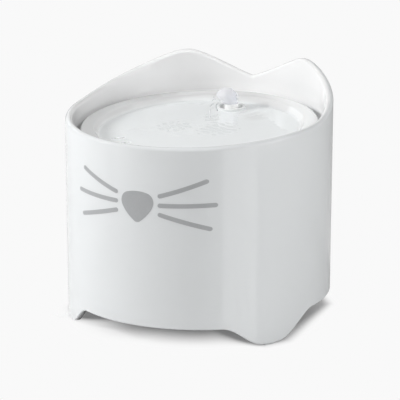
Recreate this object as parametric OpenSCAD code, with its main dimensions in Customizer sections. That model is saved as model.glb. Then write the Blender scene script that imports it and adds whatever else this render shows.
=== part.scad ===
// Pet water fountain: a round housing with cat ears, an inclined drinking tray,
// a lift-out tank, and a submersible pump with its filter box.
// Units are millimetres. The origin is on the floor under the middle of the body,
// +Z is up and the face looks along -Y.

/* [Housing] */
// Outside diameter of the round body
body_d = 180; // [172:1:200]
// Height of the rim, ears left out, above the middle of the body
rim_mid_h = 140.8; // [136:0.2:150]
// Slope of the rim and the tray, rising to the back, in degrees
top_tilt = 5; // [3:0.5:6]
// Thickness of the wall from the rim down to the tray
rim_t = 5; // [4.4:0.1:5.6]
// Thickness of the wall below the tray
wall_t = 4; // [3:0.1:4.4]
// Depth below the sloping rim at which the wall gets thinner
wall_step_depth = 18; // [15:0.5:24]
// Thickness of the inner ledge that carries the tank
ledge_t = 3; // [2.4:0.1:4]
// Width of that ledge, from the inside of the wall
ledge_w = 16; // [13:0.5:20]
// Height of the top of the ledge above the floor
ledge_h = 25; // [24.6:0.2:28]

/* [Ears] */
// Height of the ears above the sloping rim
ear_h = 19.3; // [12:0.1:24]
// Place of the ear tips, in degrees round the body from the front
ear_angle = 148; // [142:1:152]
// Sweep of the outer flank of an ear, in degrees
ear_outer_span = 62; // [50:1:70]
// Sweep of the inner flank of an ear, in degrees
ear_inner_span = 34; // [30:1:38]

/* [Feet] */
// Place of the front feet, in degrees round the body from the front
foot_front_angle = 57; // [52:1:60]
// Place of the rear feet, in degrees round the body from the front
foot_rear_angle = 138; // [134:1:142]
// Width of the flat tip of a foot
foot_tip_w = 9; // [7:0.5:12]
// Sweep of the curve from a foot up to its arch, in degrees
arch_ramp = 26; // [22:1:30]
// Height of the front and rear arches
arch_low_h = 14.8; // [10:0.2:18]
// Height of the side arches
arch_side_h = 20; // [14:0.2:20.6]
// Height of the soft pads under the feet
pad_h = 1; // [0.8:0.1:1.6]

/* [Face] */
// Height of the middle of the nose
nose_h = 94; // [85:0.5:100]
// Width of the nose
nose_w = 22.8; // [19:0.2:26]
// Height of the nose from its top to its tip
nose_tall = 20.4; // [18:0.2:24]
// Rounding of the upper corners of the nose
nose_corner = 6; // [4.5:0.1:7]
// Width of a whisker stroke
whisker_w = 2.8; // [2:0.1:3.6]
// Distance from the middle of the nose to the near ends of the whiskers
whisker_start = 15.6; // [14:0.2:18]
// Distance from the middle of the nose to the far ends of the middle whiskers
whisker_end = 48.6; // [42:0.2:54]
// Spacing of the whiskers at their near ends
whisker_pitch = 6.1; // [5:0.1:7]
// Height of the far ends of the upper whiskers above the middle of the nose
whisker_rise = 18.5; // [14:0.5:22]
// Depth of the far ends of the lower whiskers below the middle of the nose
whisker_fall = 12.4; // [9:0.2:16]
// Thickness of the print on the body
print_t = 0.15; // [0.1:0.05:0.3]

/* [Tray] */
// Gap between the housing and the edge of the tray
tray_gap = 5; // [4:0.2:7]
// Depth of the edge of the tray below the sloping rim
tray_drop = 9; // [7:0.2:12]
// Thickness of the edge of the tray
lip_t = 3.2; // [2.6:0.1:4]
// Width of the flat band round the tray
lip_band_w = 9; // [8:0.2:12]
// Width of the steep shoulder between that band and the floor of the basin
shoulder_w = 3.8; // [3:0.2:5.6]
// Depth of the basin below the edge of the tray
basin_depth = 6.2; // [5:0.1:8]
// Thickness of the floor of the tray
tray_t = 2.2; // [1.8:0.1:2.8]
// Depth of the ring under the tray that centres it in the tank
tray_skirt_h = 9; // [8.6:0.2:12]
// Distance of the spout from the rear edge of the tray
spout_edge = 28.3; // [27:0.1:32]
// Diameter of the hole round the spout
spout_hole_d = 15.2; // [14.2:0.1:17]
// Wall of the raised boss round that hole, at its top
boss_wall = 2.1; // [1.6:0.1:3]
// Height of that boss above the floor of the tray
boss_h = 3; // [2.2:0.1:4.4]
// Number of drain slots at the front of the tray
drain_count = 9; // [5:1:11]
// Width of a drain slot
drain_w = 2.6; // [1.6:0.1:3.4]
// Length of a drain slot
drain_l = 9; // [6:0.5:12]

/* [Tank] */
// How far the edge of the tray reaches past the tank
tray_overhang = 1; // [0.6:0.1:2]
// Thickness of the tank wall
tank_wall = 2; // [1.6:0.1:3]
// Thickness of the tank floor
tank_floor_t = 2.5; // [2:0.1:4]
// Depth of the ring under the tank that centres it in the ledge
tank_foot_h = 2.4; // [1.6:0.1:3]
// Depth of the high-water line below the rim of the tank at the front
level_depth = 16; // [12:0.5:24]
// Bore of the grommet that the pump's lead goes through
cable_d = 3.6; // [3:0.1:4.4]

/* [Pump] */
// Width of the pump across the body
pump_w = 34; // [33:0.5:36]
// Height of the pump body
pump_h = 34; // [33:0.5:36]
// Length of the motor block
motor_l = 24; // [22:0.5:26]
// Outside diameter of the riser tube
riser_d = 7.6; // [7:0.2:8.6]
// Wall of the riser tube
riser_wall = 1.4; // [1.2:0.1:1.6]
// Number of impeller vanes
vane_count = 6; // [4:1:8]
// Diameter of the impeller
impeller_d = 25; // [22:0.2:25.6]
// Diameter of the ceramic shaft
shaft_d = 2.4; // [2:0.1:3]
// Height of the suction cups
cup_h = 4; // [3.4:0.1:5]
// Diameter of the suction cups
cup_d = 11; // [9:0.2:12]

/* [Filter] */
// Thickness of the walls of the filter box
box_wall = 1.6; // [1.2:0.1:2.2]
// Space beside the pump inside the filter box
box_side = 4; // [3:0.2:5]
// Height of the filter box
box_h = 47; // [44:0.5:52]
// Thickness of the filter cartridge
cart_t = 8; // [7:0.2:9]
// Number of inlet slots in the front of the filter box
inlet_count = 7; // [5:1:9]

/* [Hidden] */

fit_gap = 0.3;       // between pieces that come apart
snug = 0.05;         // round a pressed or turning fit
fine = 0.01;         // overlap of two pieces that join
film_gap = 0.02;     // under the print on the body
round_fn = 96;       // facets of large round pieces
small_fn = 48;       // facets of small round pieces

white = [0.95, 0.95, 0.95];
grey = [0.63, 0.66, 0.66];
clear_tint = [0.85, 0.92, 0.95, 0.5];
smoke = [0.80, 0.84, 0.86, 0.6];
black = [0.13, 0.13, 0.14];
soft_grey = [0.45, 0.46, 0.48];

body_r = body_d / 2;
stations = 120;                          // sections round the housing
rim_round = rim_t / 2;
edge_r = 0.8;                            // rounding of the lower edge
taper_h = 4;                             // height over which the wall gets thinner
ledge_r = body_r - wall_t - ledge_w;
foot_flat = foot_tip_w / 2 / body_r * 180 / PI;
ear_tip_outer = 0.10;                    // softness of the ear tip on each flank
ear_tip_inner = 0.25;
ear_power_outer = 1.5;                   // hollow of each flank
ear_power_inner = 1.3;

// The sloping plane of the tray: its middle, and a point on the plane
lip_z = rim_mid_h - tray_drop;
function on_lip(y) = lip_z + y * tan(top_tilt);

tray_r = body_r - rim_t - tray_gap;
spout_y = tray_r - spout_edge;           // spout behind the middle of the tray
band_r = tray_r - lip_band_w;            // inner edge of the flat band
foot_r = band_r - shoulder_w;            // edge of the flat floor of the basin
tank_r = tray_r - tray_overhang;
tank_in_r = tank_r - tank_wall;
tank_z = ledge_h + fit_gap;              // underside of the tank
tank_floor_z = tank_z + tank_floor_t;    // top of the tank floor
tank_rim_drop = lip_t + fit_gap;         // rim of the tank below the edge of the tray
grommet_r = cable_d / 2 + 2.2;
grommet_z = on_lip(tank_r) - 19;

// Filter box and pump, from the floor of the tank up
box_z = tank_floor_z + fit_gap;
box_floor_z = box_z + box_wall;
pump_z = box_floor_z + fit_gap + cup_h;  // underside of the pump
axis_z = pump_z + pump_h / 2;            // shaft height
pump_top_z = pump_z + pump_h;

riser_r = riser_d / 2;
outlet_wall = 1.8;
chamber_l = 2 * (riser_r + outlet_wall) + 1.4;   // the drum is as long as its outlet is wide
chamber_d = 33;
chamber_wall = 2.4;
chamber_back = 2;                        // web between chamber and motor
chamber_y = spout_y - chamber_l / 2;     // front of the drum, where the motor ends
chamber_end = chamber_y + chamber_l;     // open end of the drum
motor_y = chamber_y - motor_l;
cavity_r = chamber_d / 2 - chamber_wall;
cavity_y = chamber_y + chamber_back;
well_r = 9.2;                            // rotor well in the motor block
well_end = motor_y + 5;
bush_r = 3.2;
bush_l = 3;
front_bush_r = 2.2;
front_bush_l = 2.2;
front_bush_out = 0.6;                    // how far the front bush stands out of its seat
bush_web = 0.4;                          // closed end of a bush
magnet_y = well_end + 1.2;
magnet_end = cavity_y - 0.6;
stem_r = 3.4;                            // hub of the impeller, inside the magnet
outlet_h = 6;                            // outlet socket above the pump
riser_z = pump_top_z - 2;                // foot of the riser in its socket
gland_r = 4;
gland_h = 6;
gland_x = 9;
gland_y = motor_y + 8;

cover_t = 2.4;
cover_y = chamber_end + snug;
hub_r = 4.4;
pin_r = 2.2;                             // pin on the cover that carries the flow dial
pin_l = 3;
dial_t = 1.4;
dial_r = 9.5;
dial_y = cover_y + cover_t + fit_gap;
port_r = 6.6;                            // circle of the inlet ports
port_d = 3.6;
port_count = 6;

// Spout: the collar stands in the hole of the tray, and the tray lifts off over the cap
boss_top = boss_h - basin_depth;         // top of the boss, in the plane of the tray
spout_z = on_lip(spout_y);
collar_wall = 1.05;
collar_r = riser_r + snug + collar_wall;
collar_h = 9;
collar_web = 1;                          // end of the collar over the riser
collar_top = spout_z + boss_top + 1.7;
cap_h = 9.5;
cap_r = collar_r - 0.3;
cap_wall = 1.2;

box_in_x = pump_w / 2 + box_side;
cart_y = motor_y - 2.2 - cart_t;         // front face of the cartridge
box_front = cart_y - fit_gap - box_wall;
box_back = dial_y + dial_t + pin_l;
box_round = 7;
cart_x = box_in_x - fit_gap;
cart_z = box_floor_z + fit_gap;
cart_top = box_z + box_h - 1;
frame_w = 3;                             // border of the cartridge frame
pad_t = 1.6;                             // thickness of a cotton pad
skin_t = 0.6;                            // lip that holds the pads in the frame
pad_inset = box_round - box_wall + snug; // pads and carbon inside the outline of the frame

function clamp(v, lo, hi) = max(lo, min(hi, v));
function soften(t, e) = (sqrt(t * t + e * e) - e) / (sqrt(1 + e * e) - e);

// Rise of an ear above the sloping rim, at an angle from 0 (front) to 180 (back)
function ear_rise(a) =
    let (outer = a < ear_angle,
         t = min(1, abs(a - ear_angle) / (outer ? ear_outer_span : ear_inner_span)),
         s = soften(t, outer ? ear_tip_outer : ear_tip_inner))
    ear_h * pow(max(0, 1 - s), outer ? ear_power_outer : ear_power_inner);

function rim_base(a) = rim_mid_h - (body_r - rim_round) * cos(a) * tan(top_tilt);
function rim_z(a) = rim_base(a) + ear_rise(a);

// Lower edge: flat foot tips that sweep up into the arches
function ramp(d) = pow(sin(90 * clamp((d - foot_flat) / (arch_ramp - foot_flat), 0, 1)), 2);
function edge_z(a) =
    let (side = a > foot_front_angle && a < foot_rear_angle,
         d = min(abs(a - foot_front_angle), abs(a - foot_rear_angle)))
    pad_h + ((side ? arch_side_h : arch_low_h) - pad_h) * ramp(d);

// Section of the housing wall as [radius, height], at an angle from the front
function wall_section(a) =
    let (zb = edge_z(a), zr = rim_z(a) - rim_round, zs = rim_base(a) - wall_step_depth,
         ri = body_r - wall_t)
    concat(
        [[body_r - edge_r, zb], [body_r - 0.3 * edge_r, zb + 0.3 * edge_r], [body_r, zb + edge_r]],
        [for (i = [0:6]) [body_r - rim_round + rim_round * cos(i * 30), zr + rim_round * sin(i * 30)]],
        [[body_r - rim_t, zs], [ri, zs - taper_h], [ri, ledge_h], [ledge_r, ledge_h],
         [ledge_r, ledge_h - ledge_t], [ri, ledge_h - ledge_t], [ri, zb + edge_r],
         [ri + 0.5 * edge_r, zb]]);

function round_body(p, a) = [p[0] * sin(a), -p[0] * cos(a), p[1]];

// Closed ring of n sections with m points each, as two triangles a cell
function ring_faces(n, m) =
    [for (i = [0:n - 1], j = [0:m - 1], k = [0, 1])
        let (i2 = (i + 1) % n, j2 = (j + 1) % m)
        k == 0 ? [i * m + j, i * m + j2, i2 * m + j2] : [i * m + j, i2 * m + j2, i2 * m + j]];

// Points of an arc, for turned outlines
function arc(cx, cy, r, a0, a1, n = 6) =
    [for (i = [0:n]) let (a = a0 + (a1 - a0) * i / n) [cx + r * cos(a), cy + r * sin(a)]];

module tilted() {
    translate([0, 0, lip_z]) rotate([top_tilt, 0, 0]) children();
}

module along_y(y, l, r, fn = small_fn) {
    translate([0, y, 0]) rotate([-90, 0, 0]) cylinder(h = l, r = r, $fn = fn);
}

module ring(r_out, r_in, h, fn = small_fn) {
    difference() {
        cylinder(h = h, r = r_out, $fn = fn);
        translate([0, 0, -1]) cylinder(h = h + 2, r = r_in, $fn = fn);
    }
}

module slot_2d(l, w) {
    square([l - w, w], center = true);
    for (s = [-1, 1]) translate([s * (l - w) / 2, 0]) circle(d = w, $fn = small_fn);
}

module rounded_2d(x0, x1, y0, y1, r) {
    translate([x0 + r, y0]) square([x1 - x0 - 2 * r, y1 - y0]);
    translate([x0, y0 + r]) square([x1 - x0, y1 - y0 - 2 * r]);
    for (x = [x0 + r, x1 - r], y = [y0 + r, y1 - r]) translate([x, y]) circle(r = r, $fn = small_fn);
}

// ---- housing ----

module housing() {
    sections = [for (i = [0:stations - 1]) let (a = i * 360 / stations) wall_section(a > 180 ? 360 - a : a)];
    m = len(sections[0]);
    color(white)
        polyhedron(
            points = [for (i = [0:stations - 1], p = sections[i]) round_body(p, i * 360 / stations)],
            faces = ring_faces(stations, m), convexity = 8);
}

module foot_pads() {
    sweep = 2 * foot_flat - 1;
    color(smoke)
        for (a = [foot_front_angle, foot_rear_angle, -foot_front_angle, -foot_rear_angle])
            rotate([0, 0, a - 90 - sweep / 2])
                rotate_extrude(angle = sweep, $fn = round_fn)
                    translate([body_r - wall_t + edge_r, 0]) square([wall_t - 2 * edge_r, pad_h]);
}

// ---- face ----

// Lays a flat outline, drawn in x and z, as a thin film on the front of the body
module film() {
    intersection() {
        rotate([90, 0, 0]) linear_extrude(body_r + 10) children();
        ring(body_r + film_gap + print_t, body_r + film_gap, rim_mid_h, 180);
    }
}

// Where the line from p along d meets the line from q along e
function meet(p, d, q, e) = p + d * cross(q - p, e) / cross(d, e);

function bend(p, c, q, n = 8) =
    [for (i = [1:n - 1]) let (t = i / n) p * (1 - t) * (1 - t) + 2 * c * t * (1 - t) + q * t * t];

function on_circle(c, r, a) = c + r * [cos(a), sin(a)];
function along_circle(a) = [-sin(a), cos(a)];

// Right half of the nose, from the tip up: a round tip, a full flank and a soft top corner
function nose_side() =
    let (tip_r = 3.6, tip_end = -52, flank_end = -18, top_start = 75,
         tip_c = [0, tip_r - nose_tall / 2],
         top_c = [nose_w / 2 - nose_corner, nose_tall / 2 - nose_corner - 0.8],
         p = on_circle(tip_c, tip_r, tip_end), q = on_circle(top_c, nose_corner, flank_end),
         t = on_circle(top_c, nose_corner, top_start),
         crown = t + along_circle(top_start) * t[0] / sin(top_start))
    concat(arc(tip_c[0], tip_c[1], tip_r, -90, tip_end, 4),
           bend(p, meet(p, along_circle(tip_end), q, along_circle(flank_end)), q),
           arc(top_c[0], top_c[1], nose_corner, flank_end, top_start, 8),
           [for (pt = bend(t, crown, [-t[0], t[1]], 8)) if (pt[0] > fine) pt],
           [[0, (t[1] + crown[1]) / 2]]);

module nose_2d() {
    side = nose_side();
    n = len(side);
    polygon(concat(side, [for (i = [n - 2:-1:1]) [-side[i][0], side[i][1]]]));
}

module nose_print() {
    color(grey) film() translate([0, nose_h]) nose_2d();
}

// A whisker stroke with round ends: from its near end to its far end, bowed by bow in the middle
module whisker_2d(far_x, near_z, far_z, bow) {
    steps = 10;
    r = whisker_w / 2;
    slope = atan2(far_z - near_z, far_x - whisker_start);
    side = r * [-sin(slope), cos(slope)];
    middle = [for (i = [0:steps]) let (t = i / steps)
        [whisker_start + (far_x - whisker_start) * t, near_z + (far_z - near_z) * t + 4 * bow * t * (1 - t)]];
    polygon(concat(
        [for (i = [0:steps]) middle[i] - side],
        arc(far_x, far_z, r, slope - 72, slope + 72, 4),
        [for (i = [steps:-1:0]) middle[i] + side],
        arc(whisker_start, near_z, r, slope + 108, slope + 252, 4)));
}

module whiskers_2d() {
    middle_z = whisker_pitch * 0.32;
    whisker_2d(0.9 * whisker_end, middle_z + whisker_pitch, whisker_rise, -0.5);
    whisker_2d(whisker_end, middle_z, middle_z + 0.2 * whisker_pitch, -0.25);
    whisker_2d(0.94 * whisker_end, middle_z - whisker_pitch, -whisker_fall, 0);
}

module whisker_prints() {
    color(grey) film() translate([0, nose_h]) {
        whiskers_2d();
        mirror([1, 0]) whiskers_2d();
    }
}

// ---- drinking tray ----

// Turned outline: floor, shoulder, flat band, round edge, centring skirt and underside
module tray_shell() {
    lr = lip_t / 2;
    band_drop = 0.9;
    rise = basin_depth - band_drop;
    skirt_r = tank_in_r - 4 * fit_gap;
    skirt_in_r = skirt_r - 0.75 * tray_t;
    web_z = -1.25 * lip_t;
    under_z = -basin_depth - tray_t;
    rotate_extrude($fn = 180)
        polygon(concat(
            [[0, -basin_depth], [foot_r - 1.4, -basin_depth]],
            [for (t = [0.2, 0.85]) [foot_r + t * shoulder_w, t * rise - basin_depth]],
            [[band_r + 1.2, -0.8 * band_drop]],
            arc(tray_r - lr, -lr, lr, 90, -90, 10),
            [[skirt_r, -lip_t], [skirt_r, -tray_skirt_h], [skirt_in_r, -tray_skirt_h], [skirt_in_r, web_z]],
            [[band_r + 1.6, web_z], [foot_r + 0.9, under_z], [0, under_z]]));
}

module drinking_tray() {
    hole_r = spout_hole_d / 2;
    top_r = hole_r + boss_wall;
    drain_r = foot_r - drain_l / 2 - 6.4;
    drain_step = 12;     // degrees from slot to slot
    flare = 2.2;         // foot of the boss
    edge = 0.8;          // rounding of its top
    under_z = -basin_depth - tray_t;
    sleeve_z = under_z - 3;
    color(white) tilted() difference() {
        union() {
            tray_shell();
            translate([0, spout_y, 0]) rotate_extrude($fn = round_fn)
                polygon(concat(
                    [[hole_r - 1, sleeve_z], [top_r, sleeve_z], [top_r, under_z]],
                    [[top_r + flare, -basin_depth - 0.5], [top_r + flare, -basin_depth]],
                    [[top_r + 0.5, -basin_depth + 0.3 * boss_h]],
                    arc(top_r - edge, boss_top - edge, edge, 0, 90, 4),
                    [[hole_r - 1, boss_top]]));
        }
        translate([0, spout_y, -30]) cylinder(h = 40, r = hole_r, $fn = round_fn);
        for (i = [0:drain_count - 1])
            rotate([0, 0, -90 + (i - (drain_count - 1) / 2) * drain_step])
                translate([drain_r, 0, -basin_depth - 10])
                    linear_extrude(20) slot_2d(drain_l, drain_w);
    }
}

// ---- tank ----

module water_tank() {
    ring_r = ledge_r - fit_gap;
    rail_h = 2.4;
    rail_t = 1.6;
    level_z = on_lip(-tank_r) - tank_rim_drop - level_depth;
    color(smoke) difference() {
        union() {
            difference() {
                union() {
                    translate([0, 0, tank_z]) cylinder(h = 160, r = tank_r, $fn = 180);
                    translate([0, 0, tank_z - tank_foot_h]) ring(ring_r, ring_r - 2, tank_foot_h + 0.5, 180);
                }
                translate([0, 0, tank_floor_z]) cylinder(h = 200, r = tank_in_r, $fn = 180);
            }
            // rails that keep the filter box in place
            for (s = [-1, 1])
                translate([s * (box_in_x + box_wall + fit_gap + rail_t / 2) - rail_t / 2, box_front + box_round,
                           tank_floor_z - fine])
                    cube([rail_t, box_back - box_front - 2 * box_round, rail_h]);
            translate([-box_in_x + box_round, box_front - fit_gap - rail_t, tank_floor_z - fine])
                cube([2 * (box_in_x - box_round), rail_t, rail_h]);
            // high-water line
            translate([0, 0, level_z]) rotate([0, 0, -110])
                rotate_extrude(angle = 40, $fn = 180)
                    polygon([[tank_in_r + 0.5, -0.5], [tank_in_r + 0.5, 0.5], [tank_in_r - 0.5, 0.2],
                             [tank_in_r - 0.5, -0.2]]);
        }
        tilted() translate([-150, -150, -tank_rim_drop]) cube([300, 300, 100]);
        translate([0, 0, grommet_z]) along_y(tank_in_r - 10, 20, grommet_r);
    }
}

module cable_grommet() {
    flange_r = grommet_r + 1.8;
    flange_t = 1.2;
    inner_y = sqrt(tank_in_r * tank_in_r - flange_r * flange_r) - snug;
    color(soft_grey) translate([0, 0, grommet_z]) difference() {
        union() {
            along_y(inner_y - flange_t, flange_t, flange_r);
            along_y(inner_y - flange_t / 2, tank_r + snug + flange_t - inner_y, grommet_r - snug);
            along_y(tank_r + snug, flange_t, flange_r);
        }
        along_y(inner_y - 10, 30, cable_d / 2);
    }
}

// ---- filter box and cartridge ----

module filter_box() {
    inlet_w = 2.4;
    inlet_pitch = (2 * box_in_x - 8) / inlet_count;
    stop_t = 1.4;        // ribs between the cartridge and the pump
    stop_y = cart_y + cart_t + fit_gap;
    color(smoke) difference() {
        union() {
            translate([0, 0, box_z]) linear_extrude(box_h) difference() {
                rounded_2d(-box_in_x - box_wall, box_in_x + box_wall, box_front, box_back + box_wall,
                           box_round);
                rounded_2d(-box_in_x, box_in_x, box_front + box_wall, box_back, box_round - box_wall);
            }
            translate([0, 0, box_z]) linear_extrude(box_wall)
                rounded_2d(-box_in_x - 0.5, box_in_x + 0.5, box_front + 0.5, box_back + 0.5, box_round - 0.5);
            for (s = [-1, 1])
                translate([s * (box_in_x - 1) - 1 - fine, stop_y, box_floor_z - fine])
                    cube([2 + 2 * fine, stop_t, box_h - 8]);
        }
        // upright inlet slots in the front wall
        for (i = [0:inlet_count - 1])
            translate([(i - (inlet_count - 1) / 2) * inlet_pitch, box_front - 5, box_z + box_h / 2])
                rotate([-90, 90, 0]) linear_extrude(5 + box_wall + 0.2) slot_2d(box_h - 14, inlet_w);
        // low bridge over the lead at the back
        translate([0, box_back - 5, box_z + box_h]) rotate([-90, 0, 0])
            linear_extrude(20) slot_2d(16, 10);
    }
}

// A block inside the cartridge, from y on, inset at its sides, foot and top
module cartridge_block(y, t, inset) {
    translate([-cart_x + inset, y, cart_z + inset])
        cube([2 * (cart_x - inset), t, cart_top - cart_z - 2 * inset]);
}

// Frame whose front edges follow the rounded corners of the box
module cartridge_frame() {
    corner = box_round - box_wall;
    bar = 1.6;           // grid bars
    bar_pitch = 8;
    tab_w = 16;          // pull tab
    tab_t = 2;
    tab_rise = 4;
    finger_d = 7;
    color(white) union() {
        difference() {
            translate([0, 0, cart_z]) linear_extrude(cart_top - cart_z) intersection() {
                rounded_2d(-cart_x, cart_x, cart_y, cart_y + 3 * corner, corner);
                translate([-cart_x, cart_y]) square([2 * cart_x, cart_t]);
            }
            cartridge_block(cart_y + skin_t, cart_t - 2 * skin_t, corner);
            cartridge_block(cart_y - 1, cart_t + 2, corner + frame_w);
        }
        // grid bars on both faces
        for (y = [cart_y, cart_y + cart_t - skin_t], i = [-1:1])
            translate([i * bar_pitch - bar / 2, y, cart_z + corner])
                cube([bar, skin_t, cart_top - cart_z - 2 * corner]);
        // pull tab with a finger hole
        translate([0, cart_y + (cart_t + tab_t) / 2, cart_top - fine]) rotate([90, 0, 0]) linear_extrude(tab_t)
            difference() {
                union() {
                    translate([-tab_w / 2, 0]) square([tab_w, tab_rise]);
                    translate([0, tab_rise]) circle(d = tab_w, $fn = small_fn);
                }
                translate([-tab_w, -tab_w]) square([2 * tab_w, tab_w]);
                translate([0, tab_rise]) circle(d = finger_d, $fn = small_fn);
            }
    }
}

module cotton_pad_front() {
    color("white") cartridge_block(cart_y + skin_t + snug, pad_t, pad_inset);
}

module cotton_pad_rear() {
    color("white") cartridge_block(cart_y + cart_t - skin_t - snug - pad_t, pad_t, pad_inset);
}

module carbon_core() {
    gap = skin_t + pad_t + 2 * snug;
    color(black) cartridge_block(cart_y + gap, cart_t - 2 * gap, pad_inset);
}

// ---- pump ----

module pump_body() {
    rib_d = 1.2;
    color(black) translate([0, 0, axis_z]) difference() {
        union() {
            // motor block with its cooling ribs
            translate([0, chamber_y + chamber_back, 0]) rotate([90, 0, 0])
                linear_extrude(motor_l + chamber_back)
                    rounded_2d(-pump_w / 2, pump_w / 2, -pump_h / 2, pump_h / 2, 5);
            for (i = [0:3])
                translate([0, motor_y + 4 + i * 4.4, 0]) rotate([90, 0, 0]) linear_extrude(1.4)
                    rounded_2d(-pump_w / 2 - rib_d, pump_w / 2 + rib_d, -pump_h / 2 + 5, pump_h / 2 - 5, 2);
            along_y(chamber_y, chamber_l, chamber_d / 2, round_fn);
            // outlet socket and the gland of the lead
            translate([0, spout_y, 0])
                cylinder(h = pump_h / 2 + outlet_h, r = riser_r + outlet_wall, $fn = small_fn);
            translate([gland_x, gland_y, 0]) cylinder(h = pump_h / 2 + gland_h, r = gland_r, $fn = small_fn);
        }
        along_y(cavity_y, chamber_l, cavity_r, round_fn);
        along_y(well_end, cavity_y - well_end + 1, well_r, small_fn);
        along_y(well_end - bush_l, bush_l + 1, bush_r, small_fn);
        translate([0, spout_y, riser_z - axis_z])
            cylinder(h = 40, r = riser_r + snug, $fn = small_fn);
        translate([0, spout_y, cavity_r - 3])
            cylinder(h = 40, r = riser_r - riser_wall, $fn = small_fn);
        translate([gland_x, gland_y, pump_h / 2 - 4]) cylinder(h = 40, r = cable_d / 2, $fn = small_fn);
    }
}

module suction_cups() {
    r = cup_d / 2;
    stud_r = 2;
    head_r = stud_r + 0.9;
    x = pump_w / 2 - r - 0.5;
    color(soft_grey)
        for (side = [-x, x], y = [motor_y + r + 1, chamber_y - r - 1])
            translate([side, y, pump_z - cup_h]) rotate_extrude($fn = small_fn)
                polygon([[0, 1.2], [stud_r, 1], [r - 0.8, 0], [r, 0], [r - 0.6, 0.9],
                         [stud_r + 0.6, 0.55 * cup_h], [stud_r, cup_h - 0.9], [head_r, cup_h - 0.6],
                         [head_r, cup_h], [0, cup_h]]);
}

module pump_cover() {
    wing_w = 7;
    spigot_l = 1.6;
    color(soft_grey) translate([0, 0, axis_z]) difference() {
        union() {
            along_y(cover_y, cover_t, chamber_d / 2, round_fn);
            for (s = [-1, 1])
                translate([s * (chamber_d / 2 - 0.2) - 1.1, cover_y, -wing_w / 2]) cube([2.2, cover_t, wing_w]);
            difference() {
                along_y(cover_y - spigot_l, spigot_l + 0.5, cavity_r - 0.2, round_fn);
                along_y(cover_y - spigot_l - 1, spigot_l + 1, cavity_r - 1.6, round_fn);
            }
            along_y(cover_y - 0.4, cover_t + 0.4, hub_r);
            along_y(cover_y + cover_t - 0.5, pin_l + 0.5, pin_r);
        }
        for (i = [0:port_count - 1])
            rotate([0, i * 360 / port_count, 0]) translate([port_r, 0, 0])
                along_y(cover_y - 2, cover_t + 4, port_d / 2, 24);
        along_y(cover_y - 1, 1 + front_bush_l - front_bush_out + snug, front_bush_r);
    }
}

module flow_dial() {
    color(grey) translate([0, 0, axis_z]) difference() {
        union() {
            along_y(dial_y, dial_t, dial_r, round_fn);
            translate([-1.5, dial_y, dial_r - 1]) cube([3, dial_t, 4]);
        }
        for (i = [0:port_count - 1])
            rotate([0, i * 360 / port_count, 0]) translate([port_r, 0, 0])
                along_y(dial_y - 2, dial_t + 4, port_d / 2, 24);
        along_y(dial_y - 1, dial_t + 2, pin_r + snug);
    }
}

module impeller() {
    disc_t = 1.2;
    disc_y = cavity_y + 0.6;
    vane_l = cover_y - 1.6 - 0.6 - disc_y;
    color(white) translate([0, 0, axis_z]) difference() {
        union() {
            along_y(disc_y, disc_t, impeller_d / 2, round_fn);
            along_y(magnet_y, disc_y - magnet_y + vane_l + 0.3, stem_r);
            for (i = [0:vane_count - 1])
                rotate([0, i * 360 / vane_count, 0])
                    translate([stem_r - 1, disc_y + disc_t / 2, -0.6])
                        cube([impeller_d / 2 - 0.5 - stem_r + 1, vane_l - disc_t / 2, 1.2]);
        }
        along_y(magnet_y - 1, 60, shaft_d / 2 + snug);
    }
}

module rotor_magnet() {
    color(black) translate([0, 0, axis_z]) difference() {
        along_y(magnet_y, magnet_end - magnet_y, well_r - 0.8);
        along_y(magnet_y - 1, 60, stem_r + snug);
    }
}

module impeller_shaft() {
    y = well_end - bush_l + 0.1 + bush_web;
    end_y = cover_y - front_bush_out + front_bush_l - bush_web - snug;
    color("ivory") translate([0, 0, axis_z]) along_y(y, end_y - y, shaft_d / 2);
}

// Rubber bush with a blind bore that opens towards the impeller
module rear_bush() {
    y = well_end - bush_l + 0.1;
    color(soft_grey) translate([0, 0, axis_z]) difference() {
        along_y(y, bush_l, bush_r - snug);
        along_y(y + bush_web, bush_l, shaft_d / 2 + snug);
    }
}

module front_bush() {
    y = cover_y - front_bush_out;
    color(soft_grey) translate([0, 0, axis_z]) difference() {
        along_y(y, front_bush_l, front_bush_r - snug);
        along_y(y - bush_web, front_bush_l, shaft_d / 2 + snug);
    }
}

module riser_tube() {
    top = collar_top - collar_web - 0.2;
    color(smoke) translate([0, spout_y, riser_z + snug])
        ring(riser_r, riser_r - riser_wall, top - riser_z - snug);
}

// ---- spout ----

module spout_collar() {
    color(white) translate([0, spout_y, collar_top - collar_h]) difference() {
        cylinder(h = collar_h, r = collar_r, $fn = small_fn);
        translate([0, 0, -collar_web]) cylinder(h = collar_h, r = riser_r + snug, $fn = small_fn);
        cylinder(h = 40, r = riser_r - riser_wall, $fn = small_fn);
    }
}

// Clear dome with an open top: a plug goes down into the riser, and a waist joins it to the dome
module bubbler_cap() {
    in_r = riser_r - riser_wall;
    plug_l = 3;
    waist_h = 2.6;
    waist_in = 0.8;
    brim_h = 0.8;
    dome_z = cap_h - cap_r;
    color(clear_tint) translate([0, spout_y, collar_top]) rotate_extrude($fn = small_fn)
        polygon(concat(
            [[in_r - cap_wall, -plug_l], [in_r - snug, -plug_l], [in_r - snug, snug]],
            [[collar_r - brim_h / 2, snug], [collar_r, brim_h], [collar_r - waist_in, waist_h]],
            arc(0, dome_z, cap_r, -10, 72, 10),
            arc(0, dome_z, cap_r - cap_wall, 68, -10, 8),
            [[collar_r - waist_in - cap_wall, waist_h], [in_r - cap_wall, waist_h - cap_wall]]));
}

housing();
foot_pads();
nose_print();
whisker_prints();
drinking_tray();
water_tank();
cable_grommet();
filter_box();
cartridge_frame();
cotton_pad_front();
cotton_pad_rear();
carbon_core();
pump_body();
suction_cups();
pump_cover();
flow_dial();
impeller();
rotor_magnet();
impeller_shaft();
rear_bush();
front_bush();
riser_tube();
spout_collar();
bubbler_cap();
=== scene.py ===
import math

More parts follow.
